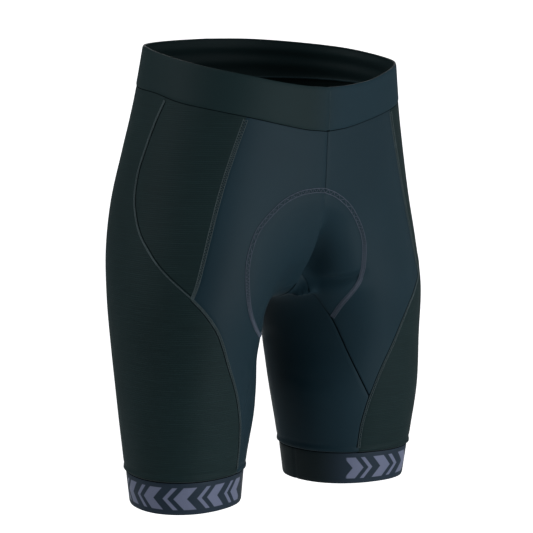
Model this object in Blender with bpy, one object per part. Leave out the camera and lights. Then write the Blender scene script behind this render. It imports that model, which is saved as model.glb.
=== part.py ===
"""Cycling shorts, filled out as when worn.

Metres, +Z up. The wearer faces -Y, so the wearer's left leg is at +X. The origin lies in
the middle of the waist opening, at the height where the waistband grips.

One smooth hollow form gives every piece its place. Seams are short tables of an angle
about the leg and a height. Each piece is a grid between its seams, with a real wall.
"""
import bmesh
import bpy
import numpy as np

# Walls, and the play between sewn pieces
PANEL_WALL = 0.0012
WAISTBAND_WALL = 0.0022
LEG_BAND_WALL = 0.0016
SEAM_GAP = 0.0003
WAISTBAND_PROUD = 0.0005
LEG_BAND_PROUD = -0.0004

# Heights of the waistband's edges, by degrees round the waist from the centre front. The rim
# stands a little higher at the wearer's right side than at the left.
EDGE_COLUMNS = ("turn", "rim_left", "rim_right", "seam")
WAIST_EDGES = (
    (0.0, -0.0090, -0.0090, -0.0560),
    (15.0, -0.0075, -0.0065, -0.0528),
    (30.0, -0.0030, -0.0015, -0.0460),
    (45.0, 0.0060, 0.0060, -0.0375),
    (60.0, 0.0125, 0.0135, -0.0295),
    (75.0, 0.0168, 0.0208, -0.0228),
    (90.0, 0.0215, 0.0270, -0.0148),
    (105.0, 0.0262, 0.0325, -0.0118),
    (120.0, 0.0300, 0.0340, -0.0098),
    (150.0, 0.0356, 0.0358, -0.0080),
    (180.0, 0.0370, 0.0370, -0.0072),
)

# Heights of the leg bands' edges
LEG_BAND_TOP = -0.430
HEM = -0.467

# Sections through the left leg and hip, from the hem up. mid_x and mid_y place the leg's
# axis, the next four are the reaches from it, full swells the outer front corner, square and
# square_back are the squareness of the two halves, and lean swells the inner back corner.
SECTION_COLUMNS = ("z", "mid_x", "mid_y", "outer", "inner", "front", "back", "full", "square", "square_back",
                   "lean")
SECTIONS = (
    (-0.470, 0.112, 0.002, 0.0650, 0.0655, 0.064, 0.0640, 0.070, 2.2, 2.2, -0.040),
    (-0.420, 0.112, 0.002, 0.0705, 0.0700, 0.071, 0.0705, 0.075, 2.2, 2.2, -0.035),
    (-0.360, 0.111, 0.001, 0.0775, 0.0780, 0.080, 0.0800, 0.070, 2.2, 2.2, -0.022),
    (-0.300, 0.110, 0.000, 0.0800, 0.0790, 0.086, 0.0910, 0.040, 2.2, 2.2, 0.165),
    (-0.240, 0.100, 0.000, 0.0915, 0.0840, 0.095, 0.1010, 0.018, 2.2, 2.2, 0.140),
    (-0.190, 0.084, 0.003, 0.1020, 0.0980, 0.100, 0.1140, 0.010, 2.2, 2.2, 0.000),
    (-0.140, 0.066, 0.004, 0.1100, 0.1250, 0.102, 0.1210, 0.000, 2.3, 2.2, 0.000),
    (-0.080, 0.048, 0.003, 0.1150, 0.1500, 0.103, 0.1200, 0.000, 2.4, 2.1, 0.000),
    (-0.020, 0.038, 0.000, 0.1090, 0.1600, 0.104, 0.1140, 0.000, 2.5, 2.1, 0.000),
    (0.040, 0.034, 0.000, 0.1025, 0.1600, 0.104, 0.0960, 0.000, 2.6, 2.1, 0.000),
)
SWELL_ANGLE = np.radians(-45.0)

# The seat and crotch between the legs: a rounded body that ends in the crotch
CROTCH = {"top": -0.10, "height": 0.138, "front": 0.100, "back": 0.112, "half_width": 0.12, "square": 2.2}
BLEND = 0.008
LENGTH_SCALE = 0.09

# Seams, as degrees about the left leg's axis (0 outer side, -90 front, 90 back) and height
HIP_FRONT_TOP = -59.0
HIP_BACK_TOP = -10.0
HIP_FRONT = ((-56.0, -0.067), (-54.0, -0.097), (-53.0, -0.130), (-52.0, -0.190), (-52.0, -0.227))
HIP_BACK = ((-4.5, -0.045), (-0.5, -0.080), (1.5, -0.103), (0.0, -0.131), (-8.0, -0.159), (-19.0, -0.180),
            (-30.5, -0.199), (-52.0, -0.227))
OUTER_THIGH = ((-52.0, -0.227), (-63.0, -0.244), (-75.0, -0.268), (-87.0, -0.303), (-97.0, -0.334),
               (-104.0, -0.357))
LOWER_THIGH = ((-104.0, -0.357), (-108.0, -0.378), (-111.0, -0.400), (-113.0, LEG_BAND_TOP))
INNER_FRONT = ((-142.0, -0.254), (-135.0, -0.274), (-125.0, -0.309), (-114.0, -0.340), (-104.0, -0.357))
INNER_BACK = ((144.0, -0.262), (138.0, -0.290), (131.0, -0.335), (126.0, -0.380), (124.0, LEG_BAND_TOP))

# Where the four leg pieces meet under the crotch, as degrees from straight down
CENTRE_HEIGHT = -0.12
CROTCH_FRONT_END = -27.0
CROTCH_BACK_END = 29.0
SPINE_LIFT = 0.045

# How many steps each seam and each row is cut into
STEPS = {"hip": 14, "outer_thigh": 12, "lower_thigh": 6, "centre": 15, "inner_front": 11}
COLUMNS = {"front": 12, "hip": 8, "seat": 22, "inner": 13}
BAND_ROWS = 5
TIP = 0.0025

# A ray leaves the form's inside in steps of this size, and the crossing is then halved down
RAY_START = 0.004
RAY_STEP = 0.003
RAY_REACH = 0.30
HALVINGS = 24

# Steps that bring a point onto the form or a waist edge, and the samples a seam is drawn with
SETTLE_STEPS = 6
EDGE_STEPS = 8
TRACE_SAMPLES = 16
CENTRE_SAMPLES = 80

# The largest creases. direction is in degrees from level, and a crease that starts on one
# side of the leg doesn't reach further through it than FOLD_DEPTH.
FOLD_DEPTH = 0.05
FOLD_COLUMNS = ("side", "angle", "z", "direction", "length", "width", "rise")
FOLDS = (
    ("left", -128.0, -0.226, 14.0, 0.060, 0.009, -0.0022),
    ("right", -132.0, -0.230, 20.0, 0.045, 0.009, -0.0014),
    ("left", 118.0, -0.226, -12.0, 0.075, 0.013, -0.0030),
    ("right", 120.0, -0.229, -10.0, 0.085, 0.014, -0.0026),
    ("left", 128.0, -0.256, -18.0, 0.050, 0.010, -0.0016),
    ("right", 126.0, -0.262, -20.0, 0.045, 0.010, -0.0018),
)

# Colours from the cloth
COLOURS = {
    "waistband": (0.020, 0.029, 0.030),
    "front": (0.018, 0.028, 0.036),
    "hip": (0.016, 0.022, 0.022),
    "seat": (0.016, 0.022, 0.022),
    "inner_leg": (0.018, 0.028, 0.034),
    "leg_band": (0.026, 0.032, 0.050),
}
ROUGHNESS = 0.65
SHARP_ANGLE = np.radians(50.0)


def clear_scene():
    for item in list(bpy.data.objects):
        bpy.data.objects.remove(item, do_unlink=True)


def smooth_table(z, heights, values):
    """A smooth curve through a table's rows, read at the heights z."""
    heights, values = np.asarray(heights, float), np.asarray(values, float)
    steps = np.diff(heights)
    slopes = np.diff(values) / steps
    between = (slopes[:-1] * steps[1:] + slopes[1:] * steps[:-1]) / (steps[:-1] + steps[1:])
    tangents = np.concatenate((slopes[:1], between, slopes[-1:]))
    z = np.clip(z, heights[0], heights[-1])
    i = np.clip(np.searchsorted(heights, z) - 1, 0, len(steps) - 1)
    step = steps[i]
    t = (z - heights[i]) / step
    start = values[i] * (2 * t ** 3 - 3 * t ** 2 + 1) + step * tangents[i] * (t ** 3 - 2 * t ** 2 + t)
    end = values[i + 1] * (3 * t ** 2 - 2 * t ** 3) + step * tangents[i + 1] * (t ** 3 - t ** 2)
    return start + end


def section(z):
    """The section table's named sizes at heights z."""
    table = np.array(SECTIONS)
    return {name: smooth_table(z, table[:, 0], table[:, k]) for k, name in enumerate(SECTION_COLUMNS) if k}


def oval(x, y, sizes):
    """One leg's section: below zero inside it, about the distance outside."""
    dx, dy = x - sizes["mid_x"], y - sizes["mid_y"]
    turn = np.arctan2(dy, dx)
    swell = 1 + sizes["full"] * np.cos(2 * (turn - SWELL_ANGLE))
    swell += sizes["lean"] * np.maximum(-np.cos(turn), 0) ** 2 * np.sin(turn)
    width = np.where(dx >= 0, sizes["outer"], sizes["inner"]) * swell
    depth = np.where(dy < 0, sizes["front"], sizes["back"]) * swell
    power = np.where(dy < 0, sizes["square"], sizes["square_back"])
    return ((np.abs(dx / width) ** power + np.abs(dy / depth) ** power) ** (1 / power) - 1) * LENGTH_SCALE


def crotch_body(x, y, z):
    depth = np.where(y < 0, CROTCH["front"], CROTCH["back"])
    drop = np.maximum(CROTCH["top"] - z, 0) / CROTCH["height"]
    power = CROTCH["square"]
    reach = np.abs(x / CROTCH["half_width"]) ** power + np.abs(y / depth) ** power + drop ** power
    return (reach ** (1 / power) - 1) * LENGTH_SCALE


def form(p):
    """The whole filled-out shape: both legs and the crotch, blended."""
    x, y, z = p[..., 0], p[..., 1], p[..., 2]
    sizes = section(z)
    parts = np.stack((oval(x, y, sizes), oval(-x, y, sizes), crotch_body(x, y, z)))
    least = parts.min(axis=0)
    return least - BLEND * np.log(np.exp((least - parts) / BLEND).sum(axis=0))


def normal(p):
    """The form's outward direction at points p."""
    h = 1e-5
    slope = np.stack([form(p + h * axis) - form(p - h * axis) for axis in np.eye(3)], axis=-1)
    return slope / np.linalg.norm(slope, axis=-1, keepdims=True)


def cast(start, heading):
    """Where rays from inside the form first leave it."""
    start, heading = np.broadcast_arrays(start, heading)
    heading = heading / np.linalg.norm(heading, axis=-1, keepdims=True)
    marks = np.arange(RAY_START, RAY_REACH, RAY_STEP)
    outside = np.stack([form(start + mark * heading) > 0 for mark in marks])
    far = marks[outside.argmax(axis=0)]
    near = far - RAY_STEP
    for _ in range(HALVINGS):
        middle = (near + far) / 2
        out = form(start + middle[..., None] * heading) > 0
        far = np.where(out, middle, far)
        near = np.where(out, near, middle)
    return start + far[..., None] * heading


def leg_axis(z):
    sizes = section(z)
    return np.stack((sizes["mid_x"], sizes["mid_y"], z + 0 * sizes["mid_x"]), axis=-1)


def at(angle, z):
    """The point of the form at an angle, in radians, about the left leg's axis."""
    angle, z = np.broadcast_arrays(np.asarray(angle, float), np.asarray(z, float))
    heading = np.stack((np.cos(angle), np.sin(angle), 0 * angle), axis=-1)
    return cast(leg_axis(z), heading)


def angle_of(p):
    """The angle about the left leg's axis, from -180 at the inner side, round the outer side."""
    axis = leg_axis(p[..., 2])
    return np.arctan2(p[..., 1] - axis[..., 1], p[..., 0] - axis[..., 0])


def centre_point(degrees):
    """The point of the form in the plane between the legs, from straight down, back positive."""
    turn = np.radians(np.asarray(degrees, float))
    heading = np.stack((0 * turn, np.sin(turn), -np.cos(turn)), axis=-1)
    return cast(np.array((0.0, 0.0, CENTRE_HEIGHT)), heading)


def resample(points, steps):
    """The same line cut into equal steps."""
    run = np.concatenate(([0.0], np.cumsum(np.linalg.norm(np.diff(points, axis=0), axis=1))))
    marks = np.linspace(0, run[-1], steps + 1)
    return np.stack([np.interp(marks, run, points[:, k]) for k in range(3)], axis=-1)


def settle(p):
    """Points near the form, moved onto it."""
    for _ in range(SETTLE_STEPS):
        p = p - form(p)[..., None] * normal(p)
    return p


def trace(points, steps):
    """A smooth line through points, laid on the form, cut into equal steps."""
    knots = np.arange(len(points), dtype=float)
    fine = np.linspace(0, knots[-1], TRACE_SAMPLES * (len(points) - 1) + 1)
    line = np.stack([smooth_table(fine, knots, points[:, k]) for k in range(3)], axis=-1)
    return resample(settle(line), steps)


def seam_points(rows):
    rows = np.array(rows)
    return at(np.radians(rows[:, 0]), rows[:, 1])


def edge_height(edge, p):
    """The height of a waistband edge, named by its column, above a point of the left half."""
    table = np.array(WAIST_EDGES)
    turn = np.degrees(np.arctan2(np.abs(p[..., 0]), -p[..., 1]))
    return smooth_table(turn, table[:, 0], table[:, EDGE_COLUMNS.index(edge)])


def waist_edge(edge, angles):
    """A waistband edge at angles about the leg's axis."""
    z = np.zeros(np.shape(angles))
    for _ in range(EDGE_STEPS):
        z = edge_height(edge, at(angles, z))
    return at(angles, z)


def centre_edge(edge, side):
    """A waistband edge at the centre front, side -1, or the centre back, side 1."""
    z = float(edge_height(edge, np.array((0.0, float(side), 0.0))))
    return cast(np.array((0.0, 0.0, z)), np.array((0.0, float(side), 0.0)))


def centre_line(side, end_degrees, steps):
    """The seam between the halves, from the waist down to where the inner leg begins."""
    top = centre_edge("seam", side)
    start = side * np.degrees(np.arctan2(abs(top[1]), CENTRE_HEIGHT - top[2]))
    line = centre_point(np.linspace(start, end_degrees, CENTRE_SAMPLES))
    line[0] = top
    return resample(line, steps)


def blend_grid(left, right, top, bottom):
    """A grid inside four edges: left and right run down, top and bottom run across."""
    v = np.linspace(0, 1, len(left))[:, None, None]
    u = np.linspace(0, 1, len(top))[None, :, None]
    across = left[:, None] * (1 - u) + right[:, None] * u
    down = top[None] * (1 - v) + bottom[None] * v
    corners = (left[0] * (1 - u) + right[0] * u) * (1 - v) + (left[-1] * (1 - u) + right[-1] * u) * v
    return across + down - corners


def panel_grid(left, right, top, bottom):
    """A panel laid on the form between its four edges, spread by angle and height."""
    edges = [np.stack((angle_of(edge), edge[:, 2]), axis=-1) for edge in (left, right, top, bottom)]
    flat = blend_grid(*edges)
    grid = at(flat[..., 0], flat[..., 1])
    grid[:, 0], grid[:, -1], grid[0], grid[-1] = left, right, top, bottom
    return grid


def inner_grid(front, back, top, bottom):
    """The inner leg's panel: rays from inside the leg, which tilt up to meet the crotch seam."""
    v = np.linspace(0, 1, len(front))
    spine = leg_axis((front[:, 2] + back[:, 2]) / 2 + SPINE_LIFT * (1 - v) ** 2)

    def heading(points, origin):
        way = points - origin
        return way / np.linalg.norm(way, axis=-1, keepdims=True)

    left, right = heading(front, spine), heading(back, spine)
    half = np.arccos((left * right).sum(axis=-1))[:, None, None]
    u = np.linspace(0, 1, len(top))[None, :, None]
    turned = (left[:, None] * np.sin((1 - u) * half) + right[:, None] * np.sin(u * half)) / np.sin(half)
    v = v[:, None, None]
    turned = (turned + (heading(top, spine[0]) - turned[:1]) * (1 - v)
              + (heading(bottom, spine[-1]) - turned[-1:]) * v)
    grid = cast(spine[:, None], turned)
    grid[:, 0], grid[:, -1], grid[0], grid[-1] = front, back, top, bottom
    return grid


def pull_in(grid, way, edges):
    """A grid whose named edges are drawn in by half the seam gap, along the cloth."""
    moved = grid.copy()
    places = {
        "left": (np.s_[:, 0], np.s_[:, 1]),
        "right": (np.s_[:, -1], np.s_[:, -2]),
        "top": (np.s_[0], np.s_[1]),
        "bottom": (np.s_[-1], np.s_[-2]),
    }
    for name in edges:
        edge, inside = places[name]
        inward = np.cross(way[edge], np.gradient(grid[edge], axis=0))
        inward /= np.linalg.norm(inward, axis=-1, keepdims=True)
        inward *= np.sign(((grid[inside] - grid[edge]) * inward).sum(axis=-1, keepdims=True))
        moved[edge] += inward * SEAM_GAP / 2
    return moved


def fold_rise(p, side):
    """How far the creases move the cloth at points of the left half, for the named side."""
    rise = np.zeros(p.shape[:-1])
    for row in FOLDS:
        fold = dict(zip(FOLD_COLUMNS, row))
        if fold["side"] != side:
            continue
        middle = seam_points(((fold["angle"], fold["z"]),))[0]
        across_leg = np.array((-np.sin(np.radians(fold["angle"])), np.cos(np.radians(fold["angle"])), 0.0))
        tilt = np.radians(fold["direction"])
        along_way = np.cos(tilt) * across_leg + np.sin(tilt) * np.array((0.0, 0.0, 1.0))
        facing = normal(middle)
        along = (p - middle) @ along_way
        across = (p - middle) @ np.cross(facing, along_way)
        deep = np.exp(-((p - middle) @ facing / FOLD_DEPTH) ** 2)
        shape = (across / fold["width"]) ** 2 + (2 * along / fold["length"]) ** 4
        rise += fold["rise"] * np.exp(-shape) * deep
    return rise


def sheet(bm, grid):
    """A grid of faces whose vertices stand at the given points."""
    rows, cols = grid.shape[:2]
    made = bmesh.ops.create_grid(bm, x_segments=cols - 1, y_segments=rows - 1, size=1.0)["verts"]
    for vert, place in zip(made, grid.reshape(-1, 3)):
        vert.co = place
    return [made[row * cols:(row + 1) * cols] for row in range(rows)]


def join_rims(bm, outer_run, inner_run):
    for k in range(len(outer_run) - 1):
        bm.faces.new((outer_run[k], outer_run[k + 1], inner_run[k + 1], inner_run[k]))


def finish(bm, name, kind):
    bmesh.ops.recalc_face_normals(bm, faces=bm.faces)
    mesh = bpy.data.meshes.new(name)
    bm.to_mesh(mesh)
    bm.free()
    mesh.shade_smooth()
    mesh.set_sharp_from_angle(angle=SHARP_ANGLE)
    material = bpy.data.materials.get(kind) or bpy.data.materials.new(kind)
    material.use_nodes = True
    shader = material.node_tree.nodes["Principled BSDF"]
    shader.inputs["Base Color"].default_value = (*COLOURS[kind], 1.0)
    shader.inputs["Roughness"].default_value = ROUGHNESS
    shader.inputs["Metallic"].default_value = 0.0
    mesh.materials.append(material)
    piece = bpy.data.objects.new(name, mesh)
    bpy.context.scene.collection.objects.link(piece)
    return piece


def build_wall(name, kind, outer, inner):
    """A panel: two sheets, joined along all four edges."""
    bm = bmesh.new()
    front, back = sheet(bm, outer), sheet(bm, inner)
    join_rims(bm, front[0], back[0])
    join_rims(bm, front[-1], back[-1])
    join_rims(bm, [row[0] for row in front], [row[0] for row in back])
    join_rims(bm, [row[-1] for row in front], [row[-1] for row in back])
    return finish(bm, name, kind)


def build_tube(name, kind, outer, inner):
    """A band: its section runs down the outside and up the inside, closed both ways."""
    loop = np.concatenate((outer, inner[::-1], outer[:1]))
    bm = bmesh.new()
    sheet(bm, np.concatenate((loop, loop[:, :1]), axis=1))
    bmesh.ops.remove_doubles(bm, verts=bm.verts, dist=0.00001)
    return finish(bm, name, kind)


def build_panel(kind, grid, edges):
    """A panel on each side of the garment, with its own creases."""
    way = normal(grid)
    placed = pull_in(grid, way, edges)
    for side, sign in (("left", 1.0), ("right", -1.0)):
        rise = fold_rise(grid, side)[..., None]
        mirror = np.array((sign, 1.0, 1.0))
        outer = (placed + way * rise) * mirror
        inner = (placed + way * (rise - PANEL_WALL)) * mirror
        build_wall(f"{kind}_{side}", kind, outer, inner)


def panels():
    """Cuts the seams, lays the four panels of one half, and builds both halves."""
    steps, cols = STEPS, COLUMNS
    front_top_angle = np.radians(HIP_FRONT_TOP)
    back_top_angle = np.radians(HIP_BACK_TOP)
    centre_front = centre_line(-1, CROTCH_FRONT_END, steps["centre"])
    centre_back = centre_line(1, CROTCH_BACK_END, steps["centre"])

    def along_waist(start, end, kind):
        """A piece's part of the waist seam, between two angles."""
        return waist_edge("seam", np.linspace(start, end, cols[kind] + 1))

    front_waist = along_waist(angle_of(centre_front[0]), front_top_angle, "front")
    hip_waist = along_waist(front_top_angle, back_top_angle, "hip")
    seat_waist = along_waist(back_top_angle, angle_of(centre_back[0]), "seat")
    front_waist[0], seat_waist[-1] = centre_front[0], centre_back[0]

    hip_front = trace(np.concatenate((hip_waist[:1], seam_points(HIP_FRONT))), steps["hip"])
    hip_back = trace(np.concatenate((hip_waist[-1:], seam_points(HIP_BACK))), steps["hip"])
    outer_thigh = trace(seam_points(OUTER_THIGH), steps["outer_thigh"])
    lower_thigh = trace(seam_points(LOWER_THIGH), steps["lower_thigh"])
    inner_front = trace(np.concatenate((centre_front[-1:], seam_points(INNER_FRONT))), steps["inner_front"])
    inner_back = trace(np.concatenate((centre_back[-1:], seam_points(INNER_BACK))),
                       steps["inner_front"] + steps["lower_thigh"])
    under = np.linspace(CROTCH_FRONT_END, CROTCH_BACK_END, CENTRE_SAMPLES)
    crotch = resample(centre_point(under), cols["inner"])

    front_corner, back_corner = np.radians(LOWER_THIGH[-1][0]), np.radians(INNER_BACK[-1][0])
    seat_hem = at(np.linspace(front_corner, back_corner, cols["seat"] + 1), LEG_BAND_TOP)
    inner_hem = at(np.linspace(front_corner, back_corner - 2 * np.pi, cols["inner"] + 1), LEG_BAND_TOP)

    def down(*runs):
        """One edge from several seams that follow each other."""
        return np.concatenate((runs[0], *[run[1:] for run in runs[1:]]))

    def tipped(edge):
        """An edge that stops just short of the point where a panel ends."""
        short = edge.copy()
        back_step = edge[-2] - edge[-1]
        short[-1] = edge[-1] + back_step / np.linalg.norm(back_step) * TIP
        return short

    front_left = tipped(down(centre_front, inner_front))
    front_right = tipped(down(hip_front, outer_thigh))
    front_tip = np.linspace(front_left[-1], front_right[-1], cols["front"] + 1)
    hip_left, hip_right = tipped(hip_front), tipped(hip_back)
    hip_tip = np.linspace(hip_left[-1], hip_right[-1], cols["hip"] + 1)
    every_edge = ("left", "right", "top", "bottom")
    build_panel("front", panel_grid(front_left, front_right, front_waist, front_tip), every_edge)
    build_panel("hip", panel_grid(hip_left, hip_right, hip_waist, hip_tip), every_edge)
    seat_front, seat_back = down(hip_back, outer_thigh, lower_thigh), down(centre_back, inner_back)
    build_panel("seat", panel_grid(seat_front, seat_back, seat_waist, seat_hem), every_edge)
    inner_edge = down(inner_front, lower_thigh)
    build_panel("inner_leg", inner_grid(inner_edge, inner_back, crotch, inner_hem), every_edge)
    waist_angles = angle_of(np.concatenate((front_waist, hip_waist[1:], seat_waist[1:])))
    hem_angles = np.concatenate((angle_of(seat_hem), angle_of(inner_hem[1:-1])[::-1]))
    return waist_angles, hem_angles


def waistband_half(angles, rim_column):
    """One half's outer and inner faces, with the rim of the named side."""
    rim, seam = waist_edge(rim_column, angles), waist_edge("seam", angles)
    for k, side in ((0, -1), (-1, 1)):
        rim[k], seam[k] = centre_edge(rim_column, side), centre_edge("seam", side)
    shares = np.linspace(0, 1, BAND_ROWS)[:, None, None]
    grid = settle(rim[None] * (1 - shares) + seam[None] * shares)
    way = normal(grid)
    grid = pull_in(grid, way, ("bottom",))
    halves = [grid + way * depth for depth in (WAISTBAND_PROUD, WAISTBAND_PROUD - WAISTBAND_WALL)]
    for half in halves:
        half[:, (0, -1), 0] = 0.0
    return halves


def waistband(angles):
    """The doubled waistband, with its centre-front corner."""
    walls = []
    for left, right in zip(waistband_half(angles, "rim_left"), waistband_half(angles, "rim_right")):
        other = (right * np.array((-1.0, 1.0, 1.0)))[:, -2:0:-1]
        walls.append(np.concatenate((left, other), axis=1))
    build_tube("waistband", "waistband", *walls)


def leg_bands(angles):
    """The printed band round each hem."""
    heights = np.linspace(LEG_BAND_TOP - SEAM_GAP / 2, HEM, BAND_ROWS)[:, None]
    grid = at(angles[None] + 0 * heights, heights + 0 * angles[None])
    way = normal(grid)
    outer, inner = grid + way * LEG_BAND_PROUD, grid + way * (LEG_BAND_PROUD - LEG_BAND_WALL)
    for side, sign in (("left", 1.0), ("right", -1.0)):
        mirror = np.array((sign, 1.0, 1.0))
        build_tube(f"leg_band_{side}", "leg_band", outer * mirror, inner * mirror)


def main():
    clear_scene()
    waist_angles, hem_angles = panels()
    waistband(waist_angles)
    leg_bands(hem_angles)


main()
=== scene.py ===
"""Cycling shorts, dressed: knit panels, flatlock seams, seat-pad stitching and printed leg bands.

Metres, +Z up, in the frame's own axes. The wearer faces -Y and the wearer's left is +X.
"""

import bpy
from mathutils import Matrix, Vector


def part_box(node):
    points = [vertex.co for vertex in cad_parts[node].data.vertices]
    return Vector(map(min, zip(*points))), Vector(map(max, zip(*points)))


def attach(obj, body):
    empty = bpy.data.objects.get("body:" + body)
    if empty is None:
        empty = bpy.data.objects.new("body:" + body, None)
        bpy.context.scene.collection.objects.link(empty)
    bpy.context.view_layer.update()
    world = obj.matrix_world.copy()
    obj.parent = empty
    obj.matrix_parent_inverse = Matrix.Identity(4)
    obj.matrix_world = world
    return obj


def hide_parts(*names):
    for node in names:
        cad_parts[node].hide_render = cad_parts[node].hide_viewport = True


bl_info = {
    "name": "Cycling shorts",
    "version": (1, 0, 0),
    "blender": (4, 5, 0),
    "location": "View3D > Sidebar > Shorts",
    "description": "Builds the cloth, seams and studio of a pair of cycling shorts",
    "category": "Add Mesh",
}

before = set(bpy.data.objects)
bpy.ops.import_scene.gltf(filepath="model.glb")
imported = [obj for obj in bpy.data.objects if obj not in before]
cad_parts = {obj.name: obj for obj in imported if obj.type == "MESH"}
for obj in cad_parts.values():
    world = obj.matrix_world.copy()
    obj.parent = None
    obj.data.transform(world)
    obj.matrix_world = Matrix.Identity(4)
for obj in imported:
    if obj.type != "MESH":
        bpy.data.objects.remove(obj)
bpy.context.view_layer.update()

from functools import lru_cache

import bmesh
import bpy
import numpy as np
from bpy.props import FloatProperty, FloatVectorProperty, PointerProperty
from mathutils import Vector

# Heights of the hems and of the leg bands' upper edges, as the solids have them
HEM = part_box("leg_band_left")[0].z
LEG_BAND_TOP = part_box("leg_band_left")[1].z

# Heights of the waistband's edges, by degrees round the waist from the centre front. The rim
# stands a little higher at the wearer's right side than at the left.
EDGE_COLUMNS = ("turn", "rim_left", "rim_right", "seam")
WAIST_EDGES = (
    (0.0, -0.0090, -0.0090, -0.0560),
    (15.0, -0.0075, -0.0065, -0.0528),
    (30.0, -0.0030, -0.0015, -0.0460),
    (45.0, 0.0060, 0.0060, -0.0375),
    (60.0, 0.0125, 0.0135, -0.0295),
    (75.0, 0.0168, 0.0208, -0.0228),
    (90.0, 0.0215, 0.0270, -0.0148),
    (105.0, 0.0262, 0.0325, -0.0118),
    (120.0, 0.0300, 0.0340, -0.0098),
    (150.0, 0.0356, 0.0358, -0.0080),
    (180.0, 0.0370, 0.0370, -0.0072),
)

# Sections through the left leg and hip, from the hem up. mid_x and mid_y place the leg's
# axis, the next four are the reaches from it, full swells the outer front corner, square and
# square_back are the squareness of the two halves, and lean swells the inner back corner.
SECTION_COLUMNS = ("z", "mid_x", "mid_y", "outer", "inner", "front", "back", "full", "square", "square_back",
                   "lean")
SECTIONS = (
    (-0.470, 0.112, 0.002, 0.0650, 0.0655, 0.064, 0.0640, 0.070, 2.2, 2.2, -0.040),
    (-0.420, 0.112, 0.002, 0.0705, 0.0700, 0.071, 0.0705, 0.075, 2.2, 2.2, -0.035),
    (-0.360, 0.111, 0.001, 0.0775, 0.0780, 0.080, 0.0800, 0.070, 2.2, 2.2, -0.022),
    (-0.300, 0.110, 0.000, 0.0800, 0.0790, 0.086, 0.0910, 0.040, 2.2, 2.2, 0.165),
    (-0.240, 0.100, 0.000, 0.0915, 0.0840, 0.095, 0.1010, 0.018, 2.2, 2.2, 0.140),
    (-0.190, 0.084, 0.003, 0.1020, 0.0980, 0.100, 0.1140, 0.010, 2.2, 2.2, 0.000),
    (-0.140, 0.066, 0.004, 0.1100, 0.1250, 0.102, 0.1210, 0.000, 2.3, 2.2, 0.000),
    (-0.080, 0.048, 0.003, 0.1150, 0.1500, 0.103, 0.1200, 0.000, 2.4, 2.1, 0.000),
    (-0.020, 0.038, 0.000, 0.1090, 0.1600, 0.104, 0.1140, 0.000, 2.5, 2.1, 0.000),
    (0.040, 0.034, 0.000, 0.1025, 0.1600, 0.104, 0.0960, 0.000, 2.6, 2.1, 0.000),
)
SWELL_ANGLE = np.radians(-45.0)
CROTCH = {"top": -0.10, "height": 0.138, "front": 0.100, "back": 0.112, "half_width": 0.12, "square": 2.2}
BLEND = 0.008
LENGTH_SCALE = 0.09

# The two halves, and what their x is multiplied by
SIDES = (("left", 1.0), ("right", -1.0))

# Seams, as degrees about the left leg's axis (0 outer side, -90 front, 90 back) and height
HIP_FRONT_TOP = -59.0
HIP_BACK_TOP = -10.0
HIP_FRONT = ((-56.0, -0.067), (-54.0, -0.097), (-53.4, -0.130), (-54.2, -0.190), (-54.0, -0.212),
             (-52.6, -0.228))
HIP_BACK = ((-4.5, -0.045), (-0.5, -0.080), (1.5, -0.103), (0.0, -0.131), (-8.0, -0.159), (-19.0, -0.180),
            (-30.5, -0.199), (-52.6, -0.228))
OUTER_THIGH = ((-52.6, -0.228), (-63.0, -0.244), (-75.0, -0.268), (-87.0, -0.303), (-97.0, -0.334),
               (-104.8, -0.365))
LOWER_THIGH = ((-104.8, -0.365), (-108.0, -0.381), (-111.0, -0.400), (-113.0, LEG_BAND_TOP))
INNER_FRONT = ((-142.0, -0.254), (-135.0, -0.274), (-125.0, -0.310), (-114.0, -0.341), (-104.8, -0.365))
INNER_BACK = ((144.0, -0.262), (138.0, -0.290), (131.0, -0.335), (126.0, -0.380), (124.0, LEG_BAND_TOP))

# Where the four leg pieces meet under the crotch, as degrees from straight down
CENTRE_HEIGHT = -0.12
CROTCH_FRONT_END = -27.0
CROTCH_BACK_END = 29.0
SPINE_LIFT = 0.045

# The seat pad's stitch line on each front panel, from the centre front to the inner leg's seam
PAD_TOP = -0.1205
PAD_LINE = {
    "right": ((-113.0, -0.1195), (-104.0, -0.1215), (-95.5, -0.129), (-89.0, -0.141), (-83.5, -0.156),
              (-82.0, -0.171), (-82.5, -0.190), (-85.5, -0.209), (-90.5, -0.230), (-97.0, -0.249),
              (-107.0, -0.265), (-121.0, -0.276), (-134.0, -0.2785)),
    "left": ((-112.5, -0.127), (-105.5, -0.141), (-101.5, -0.160), (-101.0, -0.181), (-104.5, -0.204),
             (-109.0, -0.222), (-117.5, -0.239), (-127.5, -0.256), (-135.0, -0.270)),
}
PAD_LIFT = 0.0010
PAD_EDGE = 0.012
PAD_STITCH = {"pitch": 0.0013, "raised": 0.0003}

# The hollow between the thighs. It drops away beside the centre front seam on the left half, and
# is given by its depth, its middle, its width beyond that, and the depths below the waist between
# which it sets in and runs out. Below it the pad makes the crotch hang a little fuller.
HOLLOW = {"depth": 0.024, "middle": 0.006, "width": 0.018, "sets_in": (0.134, 0.214),
          "runs_out": (0.222, 0.238)}
FULLNESS = {"rise": 0.008, "width": 0.021, "sets_in": (0.208, 0.236)}

# Steps along each seam and across each piece. Both sides of a seam share the same points.
STEPS = {"hip": 62, "outer_thigh": 54, "lower_thigh": 34, "centre": 68, "inner_front": 48}
COLUMNS = {"front": 44, "hip": 34, "seat": 112, "inner": 52}
WAIST_ROWS = 22
LEG_BAND_ROWS = 18

# A panel's point stops short of where its seams meet, by a length or a share of the last step
TIP = 0.0012
TIP_SHARE = 0.6

# The leg bands' join, in degrees about the leg, and the radii that turn angles into cloth
BAND_JOIN_ANGLE = 176.0
BAND_RADIUS = 0.068
CLOTH_RADIUS = 0.085

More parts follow.
